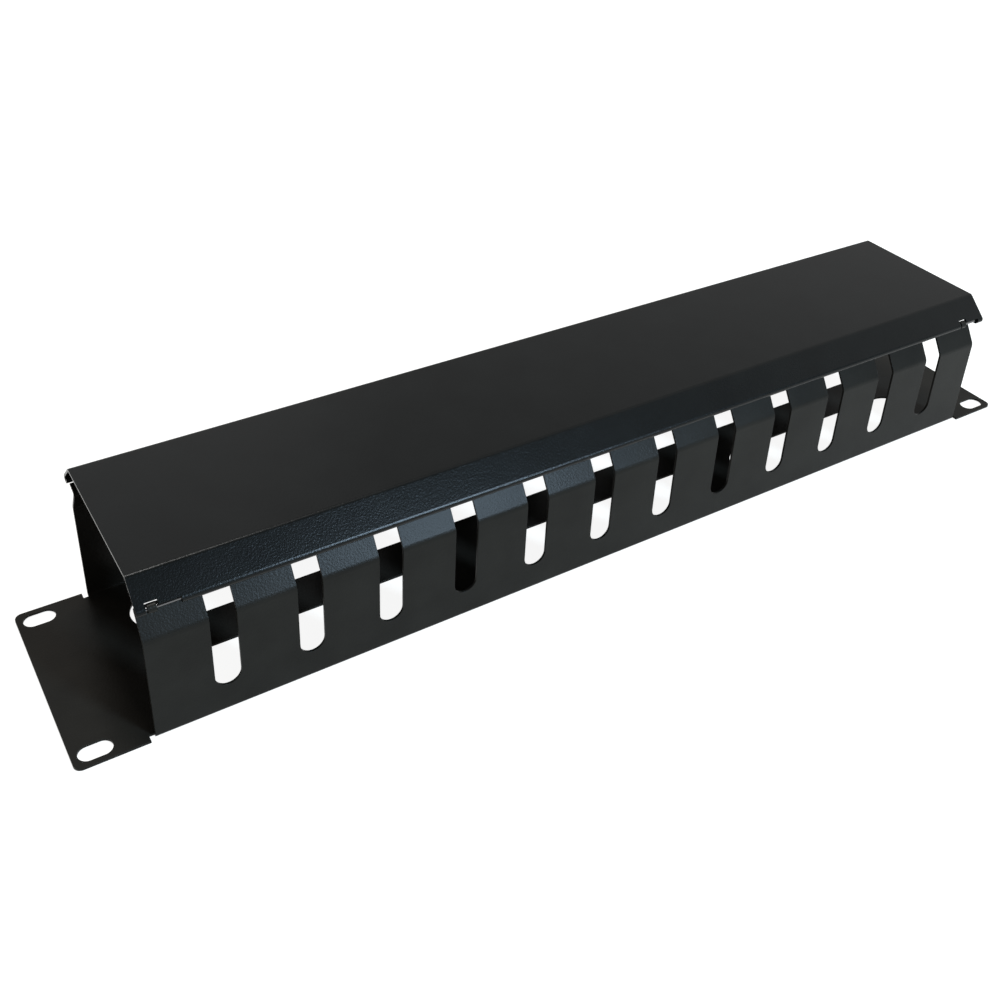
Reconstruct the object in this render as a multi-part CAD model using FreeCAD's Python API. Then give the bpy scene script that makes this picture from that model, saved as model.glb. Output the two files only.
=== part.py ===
# Horizontal cable manager for a 19-inch rack, two rack units high.
# A folded steel trough with finger walls bolts to the rack rails through slotted ears, and a folded
# cover with rolled edges closes it. Each rolled edge holds a steel rod. Near each end the roll is
# notched, and a tab on the base's end finger ends in a hook that holds the bare rod: a closed loop
# on the hinge side, an open hook on the latch side.
# Frame: origin at the centre of the panel's back face, +X along the rack's width, +Y across the
# trough towards the latch side, +Z out of the rack, towards the cover.
import FreeCAD, Part
import math
import os

# Panel (mm and degrees throughout)
PANEL_WIDTH = 482.6
PANEL_HEIGHT = 88.1
BASE_SHEET = 1.0
EAR_WIDTH = 29.1
EAR_CORNER_RADIUS = 3.0
RACK_SLOT_LENGTH = 12.7
RACK_SLOT_WIDTH = 7.5
RACK_SLOT_INSET_X = 8.75      # slot centre to the panel's short edge
RACK_SLOT_INSET_Y = 5.95      # slot centre to the panel's long edge

# Trough walls
WALL_INSET = 1.05             # panel's long edge to the wall's outer face
BASE_BEND_RADIUS = 1.0        # all bend radii are on the inside of the bend
RELIEF_WIDTH = 2.0            # notch in the ear beside each end of a base bend
LEAN_HEIGHT = 46.0            # where the outer faces of wall and leaning finger would meet
LEAN_ANGLE = 32.0
LEAN_RADIUS = 3.5
LEAN_LENGTH = 11.0            # from that meeting line to the finger's tip
END_FINGER = 23.6             # width of the finger at each end of a wall
GAP_COUNT = 12
GAP_WIDTH = 10.2
GAP_FLOOR = 12.7              # lowest point of a gap's round bottom

# Openings in the back plate
SPINE_WIDTH = 19.0
WINDOW_WIDTH = 22.0
WINDOW_MARGIN = 11.0          # trough end to the nearest window end
MIDDLE_WINDOW_LENGTH = 124.0
BRIDGE_WIDTH = 20.5

# Rods and the hooks that hold them
ROD_DIAMETER = 1.5
ROD_PLAY = 0.1                # radial, in the roll and in the hooks
ROD_INSET = 0.67              # wall's outer face to the rod's axis
ROD_ABOVE_FINGER = 4.8
ROD_END_INSET = 0.5           # cover end to rod end
HOOK_WIDTH = 3.0
HOOK_SHIFT = 4.0              # notch centre to the hook's centre, towards -X at both ends
HOOK_CLEARANCE = 0.3          # hook or tab to the cover, all the way round as it turns
HOOK_BEND_RADIUS = 1.0
LOOP_END_ANGLE = 120.0        # where the closed loop ends, from the outward direction
LATCH_LIP = 0.9

# Cover
COVER_SHEET = 1.0
COVER_OVERHANG = 1.0          # beyond each end of the trough
COVER_RISE = 10.0             # rod axis to the top face
COVER_SLOPE = 43.5
COVER_BEND_RADIUS = 1.0
ROLL_WRAP = 245.0
END_ROLL = 3.4                # length of roll left outside each notch
NOTCH_LENGTH = 12.6
NOTCH_RISE = 0.1              # start of the roll to the notch's edge, up the slope
NOTCH_SIDE_GAP = 0.8          # along X, between the base's tabs and hooks and the cover

# Sizes that follow from the ones above
trough_length = PANEL_WIDTH - 2 * EAR_WIDTH
half_wall = PANEL_HEIGHT / 2 - WALL_INSET
gap_pitch = (trough_length - 2 * END_FINGER - GAP_WIDTH) / (GAP_COUNT - 1)
half_cover = trough_length / 2 + COVER_OVERHANG
rod_y = half_wall - ROD_INSET
notch_x = half_cover - END_ROLL - NOTCH_LENGTH / 2
roll_radius = ROD_DIAMETER / 2 + ROD_PLAY


def unit(degrees):
    """Unit vector in the YZ plane, at this angle from +Y."""
    return FreeCAD.Vector(0, math.cos(math.radians(degrees)), math.sin(math.radians(degrees)))


def bent_sheet(start, heading, steps, sheet):
    """Section of a bent sheet, as a face in the YZ plane, with the end of its path.

    The path follows the sheet's right-hand face from start, and the sheet lies to its left. A step
    is a run's length, or a bend as (degrees, inside radius), where positive bends turn left.
    """
    point, right, left = start, [], []
    for step in steps:
        normal = unit(heading + 90)
        if not isinstance(step, tuple):
            end = point + unit(heading) * step
            right.append(Part.LineSegment(point, end).toShape())
            left.append(Part.LineSegment(point + normal * sheet, end + normal * sheet).toShape())
            point = end
            continue
        angle, radius = step
        side = 1 if angle > 0 else -1
        far, near = (radius + sheet, radius) if angle > 0 else (radius, radius + sheet)
        centre = point + normal * far * side
        arms = [unit(heading + 90 + angle * share) * -side for share in (0, 0.5, 1)]
        right.append(Part.Arc(*[centre + arm * far for arm in arms]).toShape())
        left.append(Part.Arc(*[centre + arm * near for arm in arms]).toShape())
        point, heading = centre + arms[2] * far, heading + angle
    normal = unit(heading + 90)
    caps = [Part.LineSegment(start, left[0].Vertexes[0].Point).toShape(),
            Part.LineSegment(point, point + normal * sheet).toShape()]
    outline = Part.Wire(Part.sortEdges(right + left + caps)[0])
    return Part.Face(outline), point, heading


def along_x(section, x_from, x_to):
    """Solid swept from a YZ section between two X positions."""
    solid = section.extrude(FreeCAD.Vector(x_to - x_from, 0, 0))
    solid.translate(FreeCAD.Vector(x_from, 0, 0))
    return solid


def other_side(shape):
    """Copy mirrored to the other long side."""
    return shape.mirror(FreeCAD.Vector(0, 0, 0), FreeCAD.Vector(0, 1, 0))


def box(x_from, x_to, y_from, y_to, z_from, z_to):
    """Box between two corners."""
    corner = FreeCAD.Vector(x_from, y_from, z_from)
    return Part.makeBox(x_to - x_from, y_to - y_from, z_to - z_from, corner)


def round_ended(x, y, length, width, z_from, z_to):
    """Upright solid with round ends, its long axis along X."""
    half_run = (length - width) / 2
    height = z_to - z_from
    middle = box(x - half_run, x + half_run, y - width / 2, y + width / 2, z_from, z_to)
    ends = [Part.makeCylinder(width / 2, height, FreeCAD.Vector(x + end, y, z_from))
            for end in (-half_run, half_run)]
    return middle.fuse(ends)


def trough_section():
    """Half of the base's section, on +Y, with the tip of its finger."""
    outer_radius = BASE_BEND_RADIUS + BASE_SHEET
    setback = (LEAN_RADIUS + BASE_SHEET) * math.tan(math.radians(LEAN_ANGLE / 2))
    steps = [half_wall - outer_radius, (90, BASE_BEND_RADIUS),
             LEAN_HEIGHT - outer_radius - setback, (LEAN_ANGLE, LEAN_RADIUS),
             LEAN_LENGTH - setback]
    return bent_sheet(FreeCAD.Vector(0, 0, 0), 0, steps, BASE_SHEET)


def rod_axis():
    """Point on the +Y rod's axis."""
    tip_height = trough_section()[1].z
    return FreeCAD.Vector(0, rod_y, tip_height + ROD_ABOVE_FINGER)


def tab_sections(closed):
    """Sections of an end finger's tab on +Y: the leg, and the hook that goes on from it."""
    _, tip, lean = trough_section()
    axis = rod_axis()
    outer_radius = roll_radius + BASE_SHEET
    bend_centre = tip - unit(lean + 90) * HOOK_BEND_RADIUS
    across = axis - bend_centre
    direct = math.degrees(math.atan2(across.z, across.y))
    reach = outer_radius + HOOK_BEND_RADIUS
    heading = direct - math.degrees(math.asin(reach / across.Length))
    run = math.sqrt(across.Length ** 2 - reach ** 2)
    turning_radius = roll_radius + COVER_SHEET + HOOK_CLEARANCE
    clear_run = run - math.sqrt(turning_radius ** 2 - roll_radius ** 2)
    root = tip - unit(lean) * BASE_SHEET
    bend = [BASE_SHEET, (heading - lean, HOOK_BEND_RADIUS)]
    if closed:
        curl = [(LOOP_END_ANGLE + 90 - heading, roll_radius)]
    else:
        curl = [(90 - heading, roll_radius), LATCH_LIP]
    return [bent_sheet(root, lean, bend + rest, BASE_SHEET)[0] for rest in ([clear_run], [run] + curl)]


def hook_span(end):
    """X positions of a hook's two sides, at the end -1 or 1 of the part."""
    centre = end * notch_x - HOOK_SHIFT
    return centre - HOOK_WIDTH / 2, centre + HOOK_WIDTH / 2


def tab(end, closed):
    """Tab and hook on the +Y side, at one end of the trough."""
    leg, hook = tab_sections(closed)
    inner_x = notch_x - NOTCH_LENGTH / 2 + NOTCH_SIDE_GAP
    leg_span = sorted((end * trough_length / 2, end * inner_x))
    return along_x(leg, *leg_span).fuse(along_x(hook, *hook_span(end)))


def ears():
    """Flat panel ends, with rounded corners, rack slots and bend reliefs."""
    panel = box(-PANEL_WIDTH / 2, PANEL_WIDTH / 2, -PANEL_HEIGHT / 2, PANEL_HEIGHT / 2,
                0, BASE_SHEET)
    corners = [edge for edge in panel.Edges if abs(edge.tangentAt(edge.FirstParameter).z) > 0.5]
    panel = panel.makeFillet(EAR_CORNER_RADIUS, corners)
    half_trough = trough_length / 2
    relief_end = half_trough + RELIEF_WIDTH
    relief_y = half_wall - BASE_BEND_RADIUS - BASE_SHEET
    cuts = [box(-half_trough, half_trough, -PANEL_HEIGHT, PANEL_HEIGHT, -1, BASE_SHEET + 1)]
    for side in (-1, 1):
        for long_edge in (-1, 1):
            xs = sorted((side * half_trough, side * relief_end))
            ys = sorted((long_edge * relief_y, long_edge * PANEL_HEIGHT))
            cuts.append(box(*xs, *ys, -1, BASE_SHEET + 1))
            x = side * (PANEL_WIDTH / 2 - RACK_SLOT_INSET_X)
            y = long_edge * (PANEL_HEIGHT / 2 - RACK_SLOT_INSET_Y)
            cuts.append(round_ended(x, y, RACK_SLOT_LENGTH, RACK_SLOT_WIDTH, -1, BASE_SHEET + 1))
    return panel.cut(cuts)


def windows():
    """Cutters for the back plate: three windows on -Y and one long one on +Y."""
    row_y = (SPINE_WIDTH + WINDOW_WIDTH) / 2
    row_end = trough_length / 2 - WINDOW_MARGIN
    side_start = MIDDLE_WINDOW_LENGTH / 2 + BRIDGE_WIDTH
    side_length = row_end - side_start
    side_x = (row_end + side_start) / 2
    spans = [(-side_x, -row_y, side_length), (0, -row_y, MIDDLE_WINDOW_LENGTH),
             (side_x, -row_y, side_length), (0, row_y, 2 * row_end)]
    return [round_ended(x, y, length, WINDOW_WIDTH, -1, BASE_SHEET + 1) for x, y, length in spans]


def finger_gaps():
    """Cutters for the gaps between fingers, each through both walls."""
    reach = PANEL_HEIGHT
    cutters = []
    for number in range(GAP_COUNT):
        x = (number - (GAP_COUNT - 1) / 2) * gap_pitch
        low = GAP_FLOOR + GAP_WIDTH / 2
        slot = box(x - GAP_WIDTH / 2, x + GAP_WIDTH / 2, -reach, reach, low, low + PANEL_HEIGHT)
        bottom = Part.makeCylinder(GAP_WIDTH / 2, 2 * reach, FreeCAD.Vector(x, -reach, low),
                                   FreeCAD.Vector(0, 1, 0))
        cutters.append(slot.fuse(bottom))
    return cutters


def base():
    """Trough, ears and hooks, one folded sheet."""
    half = along_x(trough_section()[0], -trough_length / 2, trough_length / 2)
    trough = half.fuse(other_side(half)).removeSplitter()
    sheet = trough.fuse(ears()).cut(windows() + finger_gaps())
    tabs = []
    for end in (-1, 1):
        tabs += [tab(end, closed=False), other_side(tab(end, closed=True))]
    return sheet.fuse(tabs).removeSplitter()


def cover_section():
    """Half of the cover's section, on -Y, from the middle of the top to the end of its roll."""
    axis = rod_axis()
    outer_radius = roll_radius + COVER_SHEET
    slope = math.radians(COVER_SLOPE)
    corner_y = rod_y - (COVER_RISE * math.cos(slope) - outer_radius) / math.sin(slope)
    setback = (COVER_BEND_RADIUS + COVER_SHEET) * math.tan(slope / 2)
    slope_length = (rod_y - corner_y) * math.cos(slope) + COVER_RISE * math.sin(slope) - setback
    steps = [corner_y - setback, (COVER_SLOPE, COVER_BEND_RADIUS), slope_length,
             (ROLL_WRAP, roll_radius)]
    return bent_sheet(FreeCAD.Vector(0, 0, axis.z + COVER_RISE), 180, steps, COVER_SHEET)[0]


def notch(x_from, x_to, rise):
    """Cutter that bares the -Y rod, from rise up the slope past the rod's axis."""
    reach = 4 * (roll_radius + COVER_SHEET)
    cutter = box(x_from, x_to, -reach, rise, -reach, reach)
    cutter.rotate(FreeCAD.Vector(0, 0, 0), FreeCAD.Vector(1, 0, 0), COVER_SLOPE)
    cutter.translate(FreeCAD.Vector(0, -rod_y, rod_axis().z))
    return cutter


def cover():
    """Folded cover with rolled, notched long edges."""
    half = along_x(cover_section(), -half_cover, half_cover)
    pocket_reach = roll_radius + BASE_SHEET + HOOK_CLEARANCE
    pocket_rise = math.sqrt(pocket_reach ** 2 - roll_radius ** 2)
    cutters = []
    for end in (-1, 1):
        middle = end * notch_x
        cutters.append(notch(middle - NOTCH_LENGTH / 2, middle + NOTCH_LENGTH / 2, NOTCH_RISE))
        hook_from, hook_to = hook_span(end)
        cutters.append(notch(hook_from - NOTCH_SIDE_GAP, hook_to + NOTCH_SIDE_GAP, pocket_rise))
    half = half.cut(cutters)
    return half.fuse(other_side(half)).removeSplitter()


def rod(side):
    """Rod in the roll on one long side, -1 for the hinge side and 1 for the latch side."""
    half_length = half_cover - ROD_END_INSET
    start = FreeCAD.Vector(-half_length, side * rod_y, rod_axis().z)
    return Part.makeCylinder(ROD_DIAMETER / 2, 2 * half_length, start, FreeCAD.Vector(1, 0, 0))


pieces = {"base": base(), "cover": cover(), "hinge_rod": rod(-1), "latch_rod": rod(1)}
os.makedirs("parts", exist_ok=True)
for name, shape in pieces.items():
    solid = shape.Solids[0] if len(shape.Solids) == 1 else shape
    solid.exportStep("parts/" + name + ".step")
    bounds = solid.BoundBox
    print(name, "solids", len(shape.Solids), "valid", solid.isValid(),
          "volume", round(solid.Volume), "z", round(bounds.ZMin, 2), round(bounds.ZMax, 2))
print("rod axis", rod_axis(), "gap pitch", gap_pitch, "finger tip", trough_section()[1])
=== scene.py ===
import math
import bpy
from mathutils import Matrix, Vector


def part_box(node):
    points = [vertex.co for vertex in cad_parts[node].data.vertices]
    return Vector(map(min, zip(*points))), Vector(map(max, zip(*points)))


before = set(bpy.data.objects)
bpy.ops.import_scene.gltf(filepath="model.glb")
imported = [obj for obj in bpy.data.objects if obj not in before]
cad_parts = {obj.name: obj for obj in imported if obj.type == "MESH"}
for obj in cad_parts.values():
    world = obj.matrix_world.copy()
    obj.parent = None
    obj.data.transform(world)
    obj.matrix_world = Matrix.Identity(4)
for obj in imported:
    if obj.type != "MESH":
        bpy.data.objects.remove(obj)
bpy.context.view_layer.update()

# Horizontal cable manager for a 19-inch rack, two rack units high: a folded steel finger trough with
# slotted ears, and a folded cover whose rolled long edges each hold a thin steel rod. The part lies
# on its back face, with its cover up. Metres throughout.


# Base: one sheet of 1 mm steel, cut, folded into a trough with leaning fingers, and powder coated.
# The coat is a warm black satin skin with a fine orange peel, a little uneven in shade and gloss. It
# rounds the sheet's cut edges off.
BASE_BLACK = (0.0130, 0.0117, 0.0095)
BASE_ROUGHNESS = 0.30
BASE_GLOSS = 0.065
PEEL_DEPTH = 0.00003
PEEL_CELLS_PER_METRE = 1400.0
GRAIN_PER_METRE = 1600.0
SHADE_PATCHES_PER_METRE = 60.0
GLOSS_PATCHES_PER_METRE = 25.0
SHADE_SPREAD = 0.15
ROUGHNESS_SPREAD = 0.015
COATED_EDGE_RADIUS = 0.00025
COMMON_NOISE = (0.3, 0.7)     # most of a noise pattern's values lie between these


def powder_coat(name, black, roughness, gloss):
    """Baked powder coat. Two noises vary its shade and roughness a little. The peel's height is the
    distance from the middle of smooth cells under a millimetre across, plus a finer noise."""
    material = bpy.data.materials.new(name)
    material.use_nodes = True
    tree = material.node_tree
    skin = tree.nodes["Principled BSDF"]
    skin.inputs["Specular IOR Level"].default_value = gloss
    place = tree.nodes.new("ShaderNodeTexCoord").outputs["Object"]

    def noise(patches_per_metre, detail):
        pattern = tree.nodes.new("ShaderNodeTexNoise")
        pattern.inputs["Scale"].default_value = patches_per_metre
        pattern.inputs["Detail"].default_value = detail
        tree.links.new(place, pattern.inputs["Vector"])
        return pattern.outputs["Fac"]

    def spread(value, low, high):
        between = tree.nodes.new("ShaderNodeMapRange")
        between.inputs["From Min"].default_value = COMMON_NOISE[0]
        between.inputs["From Max"].default_value = COMMON_NOISE[1]
        between.inputs["To Min"].default_value = low
        between.inputs["To Max"].default_value = high
        tree.links.new(value, between.inputs["Value"])
        return between.outputs["Result"]

    shade = tree.nodes.new("ShaderNodeMix")
    shade.data_type = "RGBA"
    shade.inputs[6].default_value = (*[channel * (1 - SHADE_SPREAD) for channel in black], 1.0)
    shade.inputs[7].default_value = (*[channel * (1 + SHADE_SPREAD) for channel in black], 1.0)
    tree.links.new(spread(noise(SHADE_PATCHES_PER_METRE, 3.0), 0.0, 1.0), shade.inputs[0])
    tree.links.new(shade.outputs[2], skin.inputs["Base Color"])
    uneven = spread(noise(GLOSS_PATCHES_PER_METRE, 4.0), roughness - ROUGHNESS_SPREAD,
                    roughness + ROUGHNESS_SPREAD)
    tree.links.new(uneven, skin.inputs["Roughness"])

    cells = tree.nodes.new("ShaderNodeTexVoronoi")
    cells.feature = "SMOOTH_F1"
    cells.inputs["Scale"].default_value = PEEL_CELLS_PER_METRE
    cells.inputs["Smoothness"].default_value = 1.0
    tree.links.new(place, cells.inputs["Vector"])
    relief = tree.nodes.new("ShaderNodeMath")
    relief.operation = "ADD"
    tree.links.new(cells.outputs["Distance"], relief.inputs[0])
    tree.links.new(noise(GRAIN_PER_METRE, 2.0), relief.inputs[1])
    rounded = tree.nodes.new("ShaderNodeBevel")
    rounded.samples = 4
    rounded.inputs["Radius"].default_value = COATED_EDGE_RADIUS
    peel = tree.nodes.new("ShaderNodeBump")
    peel.inputs["Strength"].default_value = 1.0
    peel.inputs["Distance"].default_value = PEEL_DEPTH
    tree.links.new(relief.outputs[0], peel.inputs["Height"])
    tree.links.new(rounded.outputs["Normal"], peel.inputs["Normal"])
    tree.links.new(peel.outputs["Normal"], skin.inputs["Normal"])
    return material


def finish_node(name, material):
    """Put one material on every slot of a CAD node."""
    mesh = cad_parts[name].data
    if not mesh.materials:
        mesh.materials.append(material)
    for number in range(len(mesh.materials)):
        mesh.materials[number] = material


finish_node("base", powder_coat("base_coat", BASE_BLACK, BASE_ROUGHNESS, BASE_GLOSS))


# Cover: one sheet of 1 mm steel, folded to a shallow roof, with its long edges rolled round the rods.
# It is coated in the same way, in a neutral black that is smoother and glossier than the base's.
COVER_BLACK = (0.0041, 0.0044, 0.0040)
COVER_ROUGHNESS = 0.24
COVER_GLOSS = 0.12
finish_node("cover", powder_coat("cover_coat", COVER_BLACK, COVER_ROUGHNESS, COVER_GLOSS))


# Rods: drawn steel wire with a thin dark plating, held in the cover's rolls and bare in the notches.
# Drawing leaves fine lines along the wire.
ROD_DARK = (0.08, 0.08, 0.085, 1.0)
ROD_LIGHT = (0.17, 0.17, 0.17, 1.0)
ROD_ROUGHNESS = (0.05, 0.12)
LINES_PER_METRE = (40.0, 4000.0, 4000.0)     # few along the rod, many across it


def drawn_wire(name):
    """Plated wire: noise stretched along X changes its shade and roughness a little."""
    material = bpy.data.materials.new(name)
    material.use_nodes = True
    tree = material.node_tree
    metal = tree.nodes["Principled BSDF"]
    metal.inputs["Metallic"].default_value = 1.0
    place = tree.nodes.new("ShaderNodeTexCoord").outputs["Object"]
    stretch = tree.nodes.new("ShaderNodeMapping")
    stretch.inputs["Scale"].default_value = LINES_PER_METRE
    tree.links.new(place, stretch.inputs["Vector"])
    lines = tree.nodes.new("ShaderNodeTexNoise")
    lines.inputs["Scale"].default_value = 1.0
    lines.inputs["Detail"].default_value = 3.0
    tree.links.new(stretch.outputs["Vector"], lines.inputs["Vector"])
    shade = tree.nodes.new("ShaderNodeMix")
    shade.data_type = "RGBA"
    shade.inputs[6].default_value = ROD_DARK
    shade.inputs[7].default_value = ROD_LIGHT
    tree.links.new(lines.outputs["Fac"], shade.inputs[0])
    tree.links.new(shade.outputs[2], metal.inputs["Base Color"])
    dull = tree.nodes.new("ShaderNodeMapRange")
    dull.inputs["To Min"].default_value = ROD_ROUGHNESS[0]
    dull.inputs["To Max"].default_value = ROD_ROUGHNESS[1]
    tree.links.new(lines.outputs["Fac"], dull.inputs["Value"])
    tree.links.new(dull.outputs["Result"], metal.inputs["Roughness"])
    return material


rod_steel = drawn_wire("rod_steel")
for rod in ("hinge_rod", "latch_rod"):
    finish_node(rod, rod_steel)


# Studio: a dim room round the part and a matt grey floor under it. To the camera and to reflections
# the room is plain white, and the floor glows nearly white and still takes the part's shadow.
ROOM_LIGHT = 0.35
FLOOR_SIZE = 8.0
FLOOR_CLEARANCE = 0.0005
FLOOR_GREY = (0.32, 0.31, 0.28, 1.0)
FLOOR_GLOW = 0.90
trough_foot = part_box("base")[0].z


def white_to_view(tree, strength):
    """Node output: strength for camera, glossy and transmission rays, and 0 for the others."""
    path = tree.nodes.new("ShaderNodeLightPath")
    seen = path.outputs["Is Camera Ray"]
    for ray in ("Is Glossy Ray", "Is Transmission Ray"):
        either = tree.nodes.new("ShaderNodeMath")
        either.operation = "MAXIMUM"
        tree.links.new(seen, either.inputs[0])
        tree.links.new(path.outputs[ray], either.inputs[1])
        seen = either.outputs[0]
    scale = tree.nodes.new("ShaderNodeMath")
    scale.operation = "MULTIPLY"
    scale.inputs[1].default_value = strength
    tree.links.new(seen, scale.inputs[0])
    return scale.outputs[0]


world = bpy.data.worlds.new("studio")
bpy.context.scene.world = world
world.use_nodes = True
room = world.node_tree
room_light = room.nodes["Background"]
room_light.inputs["Color"].default_value = (1.0, 1.0, 1.0, 1.0)
room_level = room.nodes.new("ShaderNodeMath")
room_level.operation = "ADD"
room_level.inputs[1].default_value = ROOM_LIGHT
room.links.new(white_to_view(room, 1.0 - ROOM_LIGHT), room_level.inputs[0])
room.links.new(room_level.outputs[0], room_light.inputs["Strength"])

bpy.ops.mesh.primitive_plane_add(size=FLOOR_SIZE, location=(0, 0, trough_foot - FLOOR_CLEARANCE))
floor = bpy.context.object
floor.name = "floor"
paper = bpy.data.materials.new("floor_paper")
paper.use_nodes = True
paper_tree = paper.node_tree
paper_tree.nodes.remove(paper_tree.nodes["Principled BSDF"])
matt = paper_tree.nodes.new("ShaderNodeBsdfDiffuse")
matt.inputs["Color"].default_value = FLOOR_GREY
glow = paper_tree.nodes.new("ShaderNodeEmission")
paper_tree.links.new(white_to_view(paper_tree, FLOOR_GLOW), glow.inputs["Strength"])
both = paper_tree.nodes.new("ShaderNodeAddShader")
paper_tree.links.new(matt.outputs[0], both.inputs[0])
paper_tree.links.new(glow.outputs[0], both.inputs[1])
paper_tree.links.new(both.outputs[0], paper_tree.nodes["Material Output"].inputs["Surface"])
floor.data.materials.append(paper)


# Backdrop cards: a dark one before the part and a grey one behind it, which only reflections see.
# They give the black coat its darker bands, as flags do in a studio.
def card(name, left, right, y, top, grey):
    """Upright panel facing along Y, from the part's foot up to top, with its own plain grey."""
    mesh = bpy.data.meshes.new(name)
    corners = [(left, y, trough_foot), (right, y, trough_foot), (right, y, top), (left, y, top)]
    mesh.from_pydata(corners, [], [(0, 1, 2, 3)])
    material = bpy.data.materials.new(name)
    material.use_nodes = True
    tree = material.node_tree
    tree.nodes.remove(tree.nodes["Principled BSDF"])
    plain = tree.nodes.new("ShaderNodeEmission")
    plain.inputs["Color"].default_value = (grey, grey, grey, 1.0)
    tree.links.new(plain.outputs[0], tree.nodes["Material Output"].inputs["Surface"])
    mesh.materials.append(material)
    panel = bpy.data.objects.new(name, mesh)
    bpy.context.scene.collection.objects.link(panel)
    panel.visible_camera = False
    panel.visible_diffuse = False
    panel.visible_transmission = False
    panel.visible_shadow = False


card("dark_card", left=-1.6, right=2.5, y=-2.1, top=12.0, grey=0.10)
card("grey_card", left=0.72, right=8.0, y=1.9, top=5.0, grey=0.62)


# Lamps: a soft window at the front right, whose reflection runs along the leaning fingers and the
# cover's long bends, and a square one overhead, which lights the ears and the top.
def soft_lamp(name, place, target, width, height, watts, colour):
    """Rectangular lamp at place, tilted and then spun about Z until its face points at target."""
    data = bpy.data.lights.new(name, "AREA")
    data.shape = "RECTANGLE"
    data.size = width
    data.size_y = height
    data.energy = watts
    data.color = colour
    lamp = bpy.data.objects.new(name, data)
    lamp.location = place
    aim = place[0] - target[0], place[1] - target[1], place[2] - target[2]
    spin = math.atan2(aim[0], -aim[1])
    tilt = math.atan2(math.hypot(aim[0], aim[1]), aim[2])
    lamp.rotation_euler = (tilt, 0.0, spin)
    bpy.context.scene.collection.objects.link(lamp)


soft_lamp("window", place=(0.69, -1.72, 0.92), target=(-0.05, 0.0, 0.05), width=0.30, height=1.14,
          watts=64.0, colour=(0.58, 0.79, 1.0))
soft_lamp("overhead", place=(0.0, 0.40, 2.10), target=(0.0, 0.0, 0.0), width=0.45, height=0.45,
          watts=21.0, colour=(1.0, 0.99, 0.97))


# Camera: above and in front of the part's left end, with a slight roll. The lens is a little shorter
# than the usual 50 mm, and is shifted, which leaves the part in the middle of the frame.
camera_data = bpy.data.cameras.new("camera")
camera_data.sensor_width = 36.0
camera_data.lens = 44.03
camera_data.shift_x = 0.0120
camera_data.shift_y = -0.1610
camera = bpy.data.objects.new("camera", camera_data)
camera.location = (-0.28221, -0.35943, 0.35028)
camera.rotation_euler = [math.radians(angle) for angle in (59.581, -2.080, -31.655)]
bpy.context.scene.collection.objects.link(camera)
bpy.context.scene.camera = camera
bpy.context.scene.view_settings.view_transform = "Standard"
